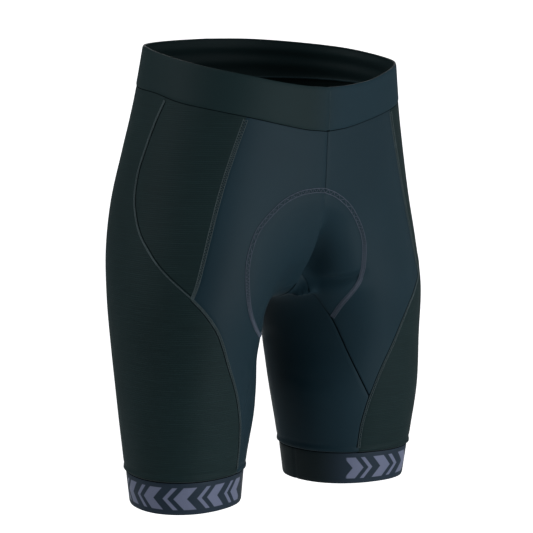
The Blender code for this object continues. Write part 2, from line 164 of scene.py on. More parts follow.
# A ray leaves the form's inside in steps of RAY_STEP, and the crossing is then halved down
RAY_STEP = 0.004
RAY_REACH = 0.3
HALVINGS = 18

# The step over which the form's slope is taken
SLOPE_STEP = 1e-5

# Steps that bring a point onto the form or a waist edge, and the samples that lines are drawn with
SETTLE_STEPS = 6
EDGE_STEPS = 8
TRACE_SAMPLES = 24
CENTRE_SAMPLES = 160
CROTCH_SAMPLES = 90
THIGH_SAMPLES = 600
PAD_SAMPLES = 260
HEM_SAMPLES = 241
BAND_FRONT_SAMPLES = 24

# Creases. direction is in degrees from level, and a crease that starts on one side of the leg
# doesn't reach further through it than FOLD_DEPTH.
FOLD_DEPTH = 0.05
FOLD_COLUMNS = ("side", "angle", "z", "direction", "length", "width", "rise")
FOLDS = (
    ("left", -128.0, -0.226, 14.0, 0.064, 0.0042, -0.0040),
    ("left", -124.0, -0.237, 14.0, 0.050, 0.0080, 0.0020),
    ("left", -122.0, -0.190, 74.0, 0.080, 0.0160, -0.0030),
    ("left", -152.0, -0.2375, 6.0, 0.026, 0.0048, 0.0062),
    ("right", -132.0, -0.230, 20.0, 0.045, 0.0060, -0.0014),
    ("right", -139.0, -0.254, 25.0, 0.060, 0.0130, -0.0050),
    ("right", -142.0, -0.305, 80.0, 0.075, 0.0200, 0.0026),
    ("left", 118.0, -0.226, -12.0, 0.075, 0.0100, -0.0030),
    ("right", 120.0, -0.229, -10.0, 0.085, 0.0110, -0.0026),
    ("left", 128.0, -0.256, -18.0, 0.050, 0.0080, -0.0016),
    ("right", 126.0, -0.262, -20.0, 0.045, 0.0080, -0.0018),
    ("left", 150.0, -0.300, 8.0, 0.050, 0.0070, -0.0012),
    ("right", 156.0, -0.310, -6.0, 0.055, 0.0075, -0.0013),
    ("right", -165.0, -0.330, 5.0, 0.050, 0.0060, -0.0010),
    ("left", -160.0, -0.345, -8.0, 0.045, 0.0060, -0.0011),
    ("right", 20.0, -0.060, 12.0, 0.060, 0.0090, -0.0008),
    ("left", 26.0, -0.066, -9.0, 0.070, 0.0100, -0.0009),
    ("right", 60.0, -0.045, 6.0, 0.060, 0.0080, -0.0009),
    ("left", 72.0, -0.050, -5.0, 0.050, 0.0080, -0.0008),
    ("right", -80.0, -0.395, 4.0, 0.060, 0.0060, -0.0006),
    ("left", -70.0, -0.400, -5.0, 0.060, 0.0060, -0.0006),
    ("right", 95.0, -0.398, 6.0, 0.060, 0.0070, -0.0009),
    ("left", 88.0, -0.392, -6.0, 0.050, 0.0070, -0.0009),
)

# The rolled tuck above each leg band, the stitched groove over it, and the ditch at the band's edge
TUCK_REACH = 0.02
TUCK_COLUMNS = ("rise", "up", "width")
TUCKS = ((0.0009, 0.0030, 0.0022), (-0.0007, 0.0080, 0.0012), (-0.0016, 0.0, 0.0009))

# How far the bands stand off the form, and where they dip: each dip is a depth and a width, which
# is in degrees at the join. The waistband's inner face has woven tiers, deepest above its seam.
WAISTBAND = {"proud": 0.0006, "rim": (0.0007, 0.0012), "foot": (0.0006, 0.0010), "front": (0.0006, 0.0012)}
TIERS = {"depth": 0.0018, "pitch": 0.0185, "deepest": 0.03, "width": 0.03}
LEG_BAND = {"proud": -0.0014, "top": (0.0007, 0.0015), "hem": (0.0006, 0.0010), "join": (0.0009, 1.1)}

# How far from a seam its ditch in the panels runs out
DITCH_WIDTH = 0.0012

# The flat seams of the hips and thighs, from one point of a seam to another. width and thread are
# shares of the full size, and taper is the share of the width that is left at the end.
FLATLOCK_COLUMNS = ("seam", "start", "end", "width", "pitch", "thread", "taper")
FLATLOCKS = (
    ("hip_front", 1, None, 1.0, 0.0013, 1.0, 0.62),
    ("hip_back", 1, 50, 0.42, 0.0010, 1.3, 0.5),
    ("hip_back", 49, None, 0.20, 0.0014, 0.7, 1.0),
    ("thigh", 0, -3, 0.48, 0.0011, 0.8, 1.0),
)

# The dark lines of the plain seams, the dark lines beside the flat seams of the hips and thighs, which are
# painted shadows, and the raised edges that lie beside some seams, painted lighter as highlights, from one
# point of a seam on. The offset is a share of the flat seams' width and a length more, and a width of None
# is the user's own. The low waist ridge is the edge of the band's lining.
LINE_COLUMNS = ("piece", "seam", "start", "half", "share", "offset", "width", "lift")
LINES = (
    ("waist_seam", "waist", 0, "both", 0.0, 0.0, None, -0.0002),
    # Raised edges painted lighter as highlights: the edge of the band's lining, and the front rim's inner
    # edge.
    ("waist_ridge", "waist", 0, "both", 0.0, 0.0, 0.0020, -0.0045),
    ("waist_ridge", "band_front", 0, "left", 0.0, 0.0009, 0.0010, 0.0002),
    ("panel_seams", "inner_front", 7, "left", 0.0, 0.0, 0.0013, -0.0002),
    ("panel_seams", "inner_back", 0, "both", 0.0, 0.0, 0.0013, -0.0002),
    # Painted shadows: dark lines beside the flat seams of the hips and thighs, where shade falls along them.
    ("panel_seams", "hip_back", 1, "both", -0.25, -0.0010, 0.0012, -0.0002),
    ("panel_seams", "thigh", 0, "left", -0.25, -0.0009, 0.0012, -0.0002),
    ("panel_seams", "thigh", 0, "right", 0.25, 0.0009, 0.0012, -0.0002),
    ("panel_seams", "hem", 0, "both", 0.0, 0.0, 0.0018, 0.0),
    ("panel_seams", "centre_front", 0, "left", 0.0, 0.0002, 0.0003, -0.0005),
    ("panel_seams", "crotch", 0, "left", 0.0, 0.0, None, -0.0002),
    ("panel_seams", "centre_back", 0, "left", 0.0, 0.0, None, -0.0002),
    # A raised edge beside the centre front's lower part, painted lighter as a highlight.
    ("front_ridge", "centre_front", 26, "left", 0.0, -0.0006, 0.0010, 0.0001),
)
LINE_HEIGHT = 0.0005
LINE_STEPS_PER_METRE = 500

# Steps in one crossing of a flat seam's thread, and the share of its lift that it loses at the edges
STITCH_STEPS = 3
STITCH_BOW = 0.35

# A thread's section: its steps round, and its height as a share of its width where it crosses
THREAD_STEPS = 6
THREAD_HEIGHT = 0.8

# Shares of a flat seam's thread: the width of its edge lines, and how high they and the crossing lie
EDGE_WIDTH = 1.3
EDGE_LIFT = 0.25
CROSSING_LIFT = 0.55

# The leg bands' print, in metres round the band from the leg's outer side. The first four are soft
# edges, and so are the two of each stripe, as shares of the period, and the margin, as one of the
# print's half height.
PRINT = {"starts": (-0.149, -0.146), "ends": (0.020, 0.024), "ground_starts": (-0.190, -0.135),
         "ground_ends": (0.010, 0.070), "margin": (0.93, 0.99), "slant": 0.011, "period": 0.036,
         "wide": ((0.10, 0.13), (0.48, 0.51)), "narrow": ((0.66, 0.69), (0.80, 0.83))}

# Knits, as the spacing of their columns and of their rows, the side panels' ribs, and the twist of
# the sewing thread
FINE_KNIT = (0.0009, 0.0008)
COARSE_KNIT = (0.0010, 0.0009)
BAND_WEAVE = (0.0012, 0.0011)
RIB_PITCH = 0.0021
THREAD_TWIST = 0.0006

# Edges sharper than this stay hard, and points closer than this become one
SHARP_ANGLE = np.radians(60.0)
WELD = 0.00002

# The studio: the sweep's sizes, and lights placed by degrees right of the camera and above level
SWEEP = {"below_hem": 0.35, "flat": 3.2, "bend": 1.4, "rise": 2.0, "half_width": 3.5, "white_from": 0.82,
         "white_to": 1.02, "white_half_width": 0.36, "white_edge": 0.15, "white_spread": 0.125}
FLAT_COLUMNS = 9
BEND_COLUMNS = 12
STUDIO_TINT = (0.91, 1.0, 1.03)
WORLD_STRENGTH = 0.04
LIGHT_COLUMNS = ("name", "right", "up", "distance", "size", "power")
LIGHTS = (
    ("key", 57.0, 6.0, 2.6, 1.4, 19.0),
    ("low", 50.0, -8.0, 2.3, 0.8, 14.0),
    ("overhead", -30.0, 45.0, 2.4, 1.6, 9.0),
    ("left_edge", -78.0, 22.0, 2.2, 1.0, 14.0),
    ("right_edge", 108.0, 4.0, 2.2, 1.2, 3.6),
)
CAMERA_HEIGHT = -0.215
SENSOR_WIDTH = 36.0
LENS = 144.27


class ShortsSizes(bpy.types.PropertyGroup):
    """Sizes a user would change."""
    panel_wall: FloatProperty(name="Panel wall", description="Thickness of the panel knit",
                              default=0.0012, unit="LENGTH")
    waistband_wall: FloatProperty(name="Waistband wall", description="Thickness of the doubled waistband",
                                  default=0.0022, unit="LENGTH")
    leg_band_wall: FloatProperty(name="Leg band wall", description="Thickness of the elastic leg band",
                                 default=0.0016, unit="LENGTH")
    seam_ditch: FloatProperty(name="Seam ditch", description="How far the cloth dips beside a seam",
                              default=0.0006, unit="LENGTH")
    flatlock_width: FloatProperty(name="Flatlock width", description="Width of the hip seams' stitching",
                                  default=0.0048, unit="LENGTH")
    pad_stitch_width: FloatProperty(name="Pad stitch width", description="Width of the seat pad's stitching",
                                    default=0.0046, unit="LENGTH")
    seam_line_width: FloatProperty(name="Seam line", description="Width of a plain seam's dark line",
                                   default=0.0016, unit="LENGTH")
    thread: FloatProperty(name="Thread", description="Thickness of the seam thread",
                          default=0.0006, unit="LENGTH")
    motif_height: FloatProperty(name="Motif height", description="Height of the print on the leg bands",
                                default=0.026, unit="LENGTH")
    camera_azimuth: FloatProperty(name="Camera azimuth", description="Turn of the camera round the shorts",
                                  default=np.radians(-37.0), subtype="ANGLE")
    camera_elevation: FloatProperty(name="Camera elevation", description="Height of the camera above level",
                                    default=np.radians(8.0), subtype="ANGLE")
    camera_distance: FloatProperty(name="Camera distance", description="From the camera to the middle",
                                   default=2.4, unit="LENGTH")


class ShortsColours(bpy.types.PropertyGroup):
    """Colours a user would change."""
    smooth_knit: FloatVectorProperty(name="Smooth knit", description="Front and inner leg panels",
                                     subtype="COLOR", default=(0.0095, 0.028, 0.040))
    ribbed_knit: FloatVectorProperty(name="Ribbed knit", description="Hip and seat panels",
                                     subtype="COLOR", default=(0.0100, 0.0232, 0.0245))
    waistband_knit: FloatVectorProperty(name="Waistband", description="Waistband knit",
                                        subtype="COLOR", default=(0.0095, 0.0235, 0.0255))
    band: FloatVectorProperty(name="Leg band", description="Printed half of the elastic leg band",
                              subtype="COLOR", default=(0.020, 0.032, 0.050))
    bare_band: FloatVectorProperty(name="Bare leg band", description="Inner half of the elastic leg band",
                                   subtype="COLOR", default=(0.008, 0.016, 0.019))
    flatlock: FloatVectorProperty(name="Flatlock", description="Thread of the hip and thigh seams",
                                  subtype="COLOR", default=(0.066, 0.090, 0.096))
    pad_stitch: FloatVectorProperty(name="Pad stitch", description="Thread of the seat pad's stitching",
                                    subtype="COLOR", default=(0.088, 0.103, 0.140))
    # This colour also serves the painted shadow lines beside the flat seams.
    plain_seam: FloatVectorProperty(name="Plain seam", description="The dark line of the plain seams",
                                    subtype="COLOR", default=(0.0030, 0.0045, 0.0055))
    # Painted highlight: the raised edges are given this lighter colour for the light they catch.
    seam_ridge: FloatVectorProperty(name="Seam ridge", description="The raised edge beside a plain seam",
                                    subtype="COLOR", default=(0.022, 0.044, 0.052))
    printed: FloatVectorProperty(name="Print", description="The bands' printed motif",
                                 subtype="COLOR", default=(0.20, 0.21, 0.31))


def sizes():
    return bpy.context.scene.shorts_sizes


def colours():
    return bpy.context.scene.shorts_colours


# The form: one smooth hollow shape that every piece lies on

def unit(vectors):
    return vectors / np.linalg.norm(vectors, axis=-1, keepdims=True)


def bell(x, width):
    return np.exp(-(x / width) ** 2)


def ramp(x, start, end):
    """0 before start, 1 past end, smooth between."""
    t = np.clip((x - start) / (end - start), 0, 1)
    return t * t * (3 - 2 * t)


def smooth_table(z, heights, values):
    """A smooth curve through a table's rows, read at the heights z."""
    heights, values = np.asarray(heights, float), np.asarray(values, float)
    steps = np.diff(heights)
    slopes = np.diff(values) / steps
    inside = (slopes[:-1] * steps[1:] + slopes[1:] * steps[:-1]) / (steps[:-1] + steps[1:])
    tangents = np.concatenate((slopes[:1], inside, slopes[-1:]))
    z = np.clip(z, heights[0], heights[-1])
    i = np.clip(np.searchsorted(heights, z) - 1, 0, len(steps) - 1)
    step = steps[i]
    t = (z - heights[i]) / step
    start = values[i] * (2 * t ** 3 - 3 * t ** 2 + 1) + step * tangents[i] * (t ** 3 - 2 * t ** 2 + t)
    end = values[i + 1] * (3 * t ** 2 - 2 * t ** 3) + step * tangents[i + 1] * (t ** 3 - t ** 2)
    return start + end


def section(z):
    """The section table's named sizes at heights z."""
    table = np.array(SECTIONS)
    return {name: smooth_table(z, table[:, 0], table[:, k]) for k, name in enumerate(SECTION_COLUMNS) if k}


def oval(x, y, section_sizes):
    """One leg's section: below zero inside it, about the distance outside."""
    dx, dy = x - section_sizes["mid_x"], y - section_sizes["mid_y"]
    turn = np.arctan2(dy, dx)
    swell = 1 + section_sizes["full"] * np.cos(2 * (turn - SWELL_ANGLE))
    swell += section_sizes["lean"] * np.maximum(-np.cos(turn), 0) ** 2 * np.sin(turn)
    width = np.where(dx >= 0, section_sizes["outer"], section_sizes["inner"]) * swell
    depth = np.where(dy < 0, section_sizes["front"], section_sizes["back"]) * swell
    power = np.where(dy < 0, section_sizes["square"], section_sizes["square_back"])
    return ((np.abs(dx / width) ** power + np.abs(dy / depth) ** power) ** (1 / power) - 1) * LENGTH_SCALE


def crotch_body(x, y, z):
    depth = np.where(y < 0, CROTCH["front"], CROTCH["back"])
    drop = np.maximum(CROTCH["top"] - z, 0) / CROTCH["height"]
    power = CROTCH["square"]
    reach = np.abs(x / CROTCH["half_width"]) ** power + np.abs(y / depth) ** power + drop ** power
    return (reach ** (1 / power) - 1) * LENGTH_SCALE


def form(p):
    """The whole filled-out shape: both legs and the crotch, blended."""
    x, y, z = p[..., 0], p[..., 1], p[..., 2]
    section_sizes = section(z)
    parts = np.stack((oval(x, y, section_sizes), oval(-x, y, section_sizes), crotch_body(x, y, z)))
    least = parts.min(axis=0)
    return least - BLEND * np.log(np.exp((least - parts) / BLEND).sum(axis=0))


def normal(p):
    """The form's outward direction at points p."""
    slope = np.stack([form(p + step) - form(p - step) for step in SLOPE_STEP * np.eye(3)], axis=-1)
    return unit(slope)


def cast(start, heading):
    """Where rays from inside the form first leave it."""
    start, heading = np.broadcast_arrays(start, heading)
    heading = unit(heading)
    near = np.full(start.shape[:-1], RAY_STEP)
    inside = np.ones(start.shape[:-1], bool)
    while inside.any() and near.max() < RAY_REACH:
        inside &= form(start + (near + RAY_STEP)[..., None] * heading) < 0
        near = np.where(inside, near + RAY_STEP, near)
    far = near + RAY_STEP
    for _ in range(HALVINGS):
        middle = (near + far) / 2
        out = form(start + middle[..., None] * heading) > 0
        far = np.where(out, middle, far)
        near = np.where(out, near, middle)
    return start + far[..., None] * heading


def leg_axis(z):
    section_sizes = section(z)
    return np.stack((section_sizes["mid_x"], section_sizes["mid_y"], z), axis=-1)


def at(angle, z):
    """The point of the form at an angle, in radians, about the left leg's axis."""
    angle, z = np.broadcast_arrays(np.asarray(angle, float), np.asarray(z, float))
    heading = np.stack((np.cos(angle), np.sin(angle), 0 * angle), axis=-1)
    return cast(leg_axis(z), heading)


def angle_of(p):
    """The angle about the left leg's axis, from -180 at the inner side, round the outer side."""
    axis = leg_axis(p[..., 2])
    return np.arctan2(p[..., 1] - axis[..., 1], p[..., 0] - axis[..., 0])


def centre_point(degrees):
    """The point of the form in the plane between the legs, from straight down, back positive."""
    turn = np.radians(np.asarray(degrees, float))
    heading = np.stack((0 * turn, np.sin(turn), -np.cos(turn)), axis=-1)
    return cast(np.array((0.0, 0.0, CENTRE_HEIGHT)), heading)


def run_along(points, axis=0):
    """How far along its line each point lies, from 0 at the first."""
    run = np.cumsum(np.linalg.norm(np.diff(points, axis=axis), axis=-1), axis=axis)
    return np.insert(run, 0, 0.0, axis=axis)


def run_length(points):
    return float(run_along(points)[-1])


def resample(points, steps):
    """The same line cut into equal steps."""
    run = run_along(points)
    marks = np.linspace(0, run[-1], steps + 1)
    return np.stack([np.interp(marks, run, points[:, k]) for k in range(points.shape[1])], axis=-1)


def settle(p):
    """Points near the form, moved onto it."""
    for _ in range(SETTLE_STEPS):
        p = p - form(p)[..., None] * normal(p)
    return p


def trace(points, steps):
    """A smooth line through points, laid on the form, cut into equal steps."""
    knots = np.arange(len(points), dtype=float)
    fine = np.linspace(0, knots[-1], TRACE_SAMPLES * (len(points) - 1) + 1)
    line = np.stack([smooth_table(fine, knots, points[:, k]) for k in range(3)], axis=-1)
    return resample(settle(line), steps)


def directions_across(line, way):
    """Unit directions across a line that lies on cloth facing way."""
    return unit(np.cross(way, unit(np.gradient(line, axis=0))))


def seam_points(rows):
    rows = np.array(rows)
    return at(np.radians(rows[:, 0]), rows[:, 1])


def edge_height(edge, p):
    """The height of a waistband edge, named by its column, above a point of the left half."""
    table = np.array(WAIST_EDGES)
    turn = np.degrees(np.arctan2(np.abs(p[..., 0]), -p[..., 1]))
    return smooth_table(turn, table[:, 0], table[:, EDGE_COLUMNS.index(edge)])


def waist_edge(edge, angles):
    """A waistband edge at angles about the leg's axis."""
    z = np.zeros(np.shape(angles))
    for _ in range(EDGE_STEPS):
        z = edge_height(edge, at(angles, z))
    return at(angles, z)


def centre_edge(edge, side):
    """A waistband edge at the centre front, side -1, or the centre back, side 1."""
    z = float(edge_height(edge, np.array((0.0, float(side), 0.0))))
    return cast(np.array((0.0, 0.0, z)), np.array((0.0, float(side), 0.0)))


def centre_line(side, end_degrees, steps):
    """The seam between the halves, from the waist down to where the inner leg begins."""
    top = centre_edge("seam", side)
    start = side * np.degrees(np.arctan2(abs(top[1]), CENTRE_HEIGHT - top[2]))
    line = centre_point(np.linspace(start, end_degrees, CENTRE_SAMPLES))
    line[0] = top
    return resample(line, steps)


def blend_grid(left, right, top, bottom):
    """A grid inside four edges: left and right run down, top and bottom run across."""
    v = np.linspace(0, 1, len(left))[:, None, None]
    u = np.linspace(0, 1, len(top))[None, :, None]
    across = left[:, None] * (1 - u) + right[:, None] * u
    down = top[None] * (1 - v) + bottom[None] * v
    corners = (left[0] * (1 - u) + right[0] * u) * (1 - v) + (left[-1] * (1 - u) + right[-1] * u) * v
    return across + down - corners


def panel_grid(left, right, top, bottom):
    """A panel laid on the form between its four edges, spread by angle and height."""
    edges = [np.stack((angle_of(edge), edge[:, 2]), axis=-1) for edge in (left, right, top, bottom)]
    flat = blend_grid(*edges)
    grid = at(flat[..., 0], flat[..., 1])
    grid[:, 0], grid[:, -1], grid[0], grid[-1] = left, right, top, bottom
    return grid


def inner_grid(front, back, top, bottom):
    """The inner leg's panel: rays from inside the leg, which tilt up to meet the crotch seam."""
    v = np.linspace(0, 1, len(front))
    spine = leg_axis((front[:, 2] + back[:, 2]) / 2 + SPINE_LIFT * (1 - v) ** 2)
    left, right = unit(front - spine), unit(back - spine)
    half = np.arccos((left * right).sum(axis=-1))[:, None, None]
    u = np.linspace(0, 1, len(top))[None, :, None]
    turned = (left[:, None] * np.sin((1 - u) * half) + right[:, None] * np.sin(u * half)) / np.sin(half)
    v = v[:, None, None]
    turned = (turned + (unit(top - spine[0]) - turned[:1]) * (1 - v)
              + (unit(bottom - spine[-1]) - turned[-1:]) * v)
    grid = cast(spine[:, None], turned)
    grid[:, 0], grid[:, -1], grid[0], grid[-1] = front, back, top, bottom
    return grid


def down(*runs):
    """One edge from several seams that follow each other."""
    return np.concatenate((runs[0], *[run[1:] for run in runs[1:]]))


def tipped(edge):
    """An edge that stops just short of the point where a panel ends."""
    short = edge.copy()
    step = edge[-2] - edge[-1]
    short[-1] = edge[-1] + unit(step) * min(TIP, np.linalg.norm(step) * TIP_SHARE)
    return short


@lru_cache(maxsize=None)
def seams():
    """Every seam of the left half, as points on the form."""
    cut = {}
    cut["centre_front"] = centre_line(-1, CROTCH_FRONT_END, STEPS["centre"])
    cut["centre_back"] = centre_line(1, CROTCH_BACK_END, STEPS["centre"])
    hip_front_top, hip_back_top = np.radians(HIP_FRONT_TOP), np.radians(HIP_BACK_TOP)

    def along_waist(start, end, kind):
        return waist_edge("seam", np.linspace(start, end, COLUMNS[kind] + 1))

    cut["front_waist"] = along_waist(angle_of(cut["centre_front"][0]), hip_front_top, "front")
    cut["hip_waist"] = along_waist(hip_front_top, hip_back_top, "hip")
    cut["seat_waist"] = along_waist(hip_back_top, angle_of(cut["centre_back"][0]), "seat")
    cut["front_waist"][0], cut["seat_waist"][-1] = cut["centre_front"][0], cut["centre_back"][0]
    cut["waist"] = down(cut["front_waist"], cut["hip_waist"], cut["seat_waist"])
    rim, seam = centre_edge("rim_left", -1), centre_edge("seam", -1)
    cut["band_front"] = settle(np.linspace(rim, seam, BAND_FRONT_SAMPLES)[2:-1])

    cut["hip_front"] = trace(np.concatenate((cut["hip_waist"][:1], seam_points(HIP_FRONT))), STEPS["hip"])
    cut["hip_back"] = trace(np.concatenate((cut["hip_waist"][-1:], seam_points(HIP_BACK))), STEPS["hip"])
    thigh = trace(seam_points(OUTER_THIGH + LOWER_THIGH[1:]), THIGH_SAMPLES)
    split = int(np.linalg.norm(thigh - seam_points(LOWER_THIGH[:1]), axis=1).argmin())
    cut["outer_thigh"] = resample(thigh[:split + 1], STEPS["outer_thigh"])
    cut["lower_thigh"] = resample(thigh[split:], STEPS["lower_thigh"])
    cut["thigh"] = down(cut["outer_thigh"], cut["lower_thigh"])
    inner_front = (cut["centre_front"][-1:], seam_points(INNER_FRONT[:-1]), thigh[split:split + 1])
    cut["inner_front"] = trace(np.concatenate(inner_front), STEPS["inner_front"])
    cut["inner_front"][-1] = cut["outer_thigh"][-1]
    cut["inner_back"] = trace(np.concatenate((cut["centre_back"][-1:], seam_points(INNER_BACK))),
                              STEPS["inner_front"] + STEPS["lower_thigh"])
    crotch = centre_point(np.linspace(CROTCH_FRONT_END, CROTCH_BACK_END, CROTCH_SAMPLES))
    cut["crotch"] = resample(crotch, COLUMNS["inner"])
    cut["hem"] = at(np.linspace(-np.pi, np.pi, HEM_SAMPLES), LEG_BAND_TOP)
    front_corner, back_corner = np.radians(LOWER_THIGH[-1][0]), np.radians(INNER_BACK[-1][0])
    for kind, end in (("seat", back_corner), ("inner", back_corner - 2 * np.pi)):
        cut[f"{kind}_hem"] = at(np.linspace(front_corner, end, COLUMNS[kind] + 1), LEG_BAND_TOP)
    return cut


@lru_cache(maxsize=None)
def panel(kind):
    """One kind of panel of the left half, as a grid of points on the form, with its normals."""
    cut = seams()
    if kind == "front":
        left = tipped(down(cut["centre_front"], cut["inner_front"]))
        right = tipped(down(cut["hip_front"], cut["outer_thigh"]))
        tip = np.linspace(left[-1], right[-1], COLUMNS["front"] + 1)
        grid = panel_grid(left, right, cut["front_waist"], tip)
    elif kind == "hip":
        left, right = tipped(cut["hip_front"]), tipped(cut["hip_back"])
        tip = np.linspace(left[-1], right[-1], COLUMNS["hip"] + 1)
        grid = panel_grid(left, right, cut["hip_waist"], tip)
    elif kind == "seat":
        left, right = down(cut["hip_back"], cut["thigh"]), down(cut["centre_back"], cut["inner_back"])
        grid = panel_grid(left, right, cut["seat_waist"], cut["seat_hem"])
    else:
        left = down(cut["inner_front"], cut["lower_thigh"])
        grid = inner_grid(left, cut["inner_back"], cut["crotch"], cut["inner_hem"])
    return grid, normal(grid)


def fold_rise(p, side):
    """How far the creases move the cloth at points of the left half, for the named side."""
    rise = np.zeros(p.shape[:-1])
    for row in FOLDS:
        fold = dict(zip(FOLD_COLUMNS, row))
        if fold["side"] != side:
            continue
        middle = seam_points(((fold["angle"], fold["z"]),))[0]
        across_leg = np.array((-np.sin(np.radians(fold["angle"])), np.cos(np.radians(fold["angle"])), 0.0))
        tilt = np.radians(fold["direction"])
        along_way = np.cos(tilt) * across_leg + np.sin(tilt) * np.array((0.0, 0.0, 1.0))
        facing = normal(middle)
        along = (p - middle) @ along_way
        across = (p - middle) @ np.cross(facing, along_way)
        deep = bell((p - middle) @ facing, FOLD_DEPTH)
        shape = (across / fold["width"]) ** 2 + (2 * along / fold["length"]) ** 4
        rise += fold["rise"] * np.exp(-shape) * deep
    return rise


def crotch_rise(p, side):
    """The hollow between the thighs, and the fuller crotch below it."""
    below_waist = -p[..., 2]
    beyond = np.maximum(p[..., 0] - HOLLOW["middle"], 0)
    beside = ramp(p[..., 0], 0.0, HOLLOW["middle"]) * bell(beyond, HOLLOW["width"]) * (side == "left")
    hollow = beside * ramp(below_waist, *HOLLOW["sets_in"]) * (1 - ramp(below_waist, *HOLLOW["runs_out"]))
    full = bell(p[..., 0], FULLNESS["width"]) * ramp(below_waist, *FULLNESS["sets_in"])
    return FULLNESS["rise"] * full - HOLLOW["depth"] * hollow * (p[..., 1] < 0)


@lru_cache(maxsize=None)
def pad_line(side):
    """The pad's stitch line on one half, with the directions that lead out of it along the cloth."""
    top = cast(np.array((0.0, 0.0, PAD_TOP)), np.array((0.0, -1.0, 0.0)))
    line = trace(np.concatenate((top[None], seam_points(PAD_LINE[side]))), PAD_SAMPLES)
    return line, directions_across(line, normal(line))


def pad_rise(p, side):
    """How far the pad lifts the cloth inside its stitch line."""
    line, way_out = pad_line(side)
    flat = p.reshape(-1, 3)
    nearest = ((line ** 2).sum(axis=1) - 2 * flat @ line.T).argmin(axis=1)
    out = ((flat - line[nearest]) * way_out[nearest]).sum(axis=1).reshape(p.shape[:-1])
    return PAD_LIFT * ramp(-out, 0.0, PAD_EDGE) * (p[..., 1] < 0)


def cloth_rise(p, side):
    """How far the dressed cloth of one half stands off the form: creases, crotch and tucks."""
    up = p[..., 2] - LEG_BAND_TOP
    tucks = [dict(zip(TUCK_COLUMNS, row)) for row in TUCKS]
    near_band = sum(tuck["rise"] * bell(up - tuck["up"], tuck["width"]) for tuck in tucks)
    return fold_rise(p, side) + crotch_rise(p, side) + near_band * (up < TUCK_REACH)


def edge_runs(grid):
    """How far each point of a grid lies from each of its four edges, measured along the cloth."""
    left, top = run_along(grid, axis=1), run_along(grid)
    return left, left[:, -1:] - left, top, top[-1:] - top


# Mesh helpers

def sheet(bm, grid):
    """A grid of faces whose vertices stand at the given points, row by row."""
    rows, cols = grid.shape[:2]
    made = bmesh.ops.create_grid(bm, x_segments=cols - 1, y_segments=rows - 1, size=1.0)["verts"]
    for vert, place in zip(made, grid.reshape(-1, 3)):
        vert.co = place
    return made


def set_uv(bm, verts, uv):
    """Gives the faces of these vertices their cloth coordinates, in metres."""
    layer = bm.loops.layers.uv.verify()
    place = {vert: (float(a), float(b)) for vert, (a, b) in zip(verts, uv.reshape(-1, 2))}
    for vert in verts:
        for loop in vert.link_loops:
            loop[layer].uv = place[vert]


def smooth_object(bm, name, material):
    mesh = bpy.data.meshes.new(name)
    bm.to_mesh(mesh)
    bm.free()
    mesh.shade_smooth()
    mesh.materials.append(material)
    made = bpy.data.objects.new(name, mesh)
    bpy.context.scene.collection.objects.link(made)
    return made


def finish_piece(bm, name, material, nodes=()):
    """Turns a bmesh into an object that rides on the body and stands for its nodes."""
    bmesh.ops.recalc_face_normals(bm, faces=bm.faces)
    piece = smooth_object(bm, name, material)
    piece.data.set_sharp_from_angle(angle=SHARP_ANGLE)
    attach(piece, "root")
    if nodes:
        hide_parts(*nodes)
    return piece


def shell(name, material, outer, inner, uv, closed, nodes):
    """A cloth wall: its section runs over the outer face and back along the inner one.

    The point attribute named inside is 0 on the outer face and 1 on the inner one; the materials darken the
    inner face by it as painted shade.
    """
    middle = (outer + inner) / 2
    loop = np.concatenate((middle[:1], outer, middle[-1:], inner[::-1], middle[:1]))
    loop_uv = np.concatenate((uv[:1], uv, uv[-1:], uv[::-1], uv[:1]))
    depth = np.concatenate(((0.5,), np.zeros(len(outer)), (0.5,), np.ones(len(inner)), (0.5,)))
    bm = bmesh.new()
    inside = bm.verts.layers.float.new("inside")
    verts = sheet(bm, loop)
    for vert, share in zip(verts, np.repeat(depth, loop.shape[1])):
        vert[inside] = share
    set_uv(bm, verts, loop_uv)
    if not closed:
        layer = bm.loops.layers.uv.verify()
        for column in (0, loop.shape[1] - 1):
            edge = verts[column::loop.shape[1]]
            for k in range(len(outer) + 1):
                face = bm.faces.new(dict.fromkeys((edge[k], edge[k + 1], edge[-2 - k], edge[-1 - k])))
                for corner in face.loops:
                    near = [other for other in corner.vert.link_loops if other.face != face][0]
                    corner[layer].uv = near[layer].uv
    bmesh.ops.remove_doubles(bm, verts=bm.verts, dist=WELD)
    return finish_piece(bm, name, material, nodes)


def cloth_uv(grid):
    """Cloth coordinates in metres: round the leg, and height."""
    return np.stack((np.unwrap(angle_of(grid), axis=1) * CLOTH_RADIUS, grid[..., 2]), axis=-1)


# Shader maths

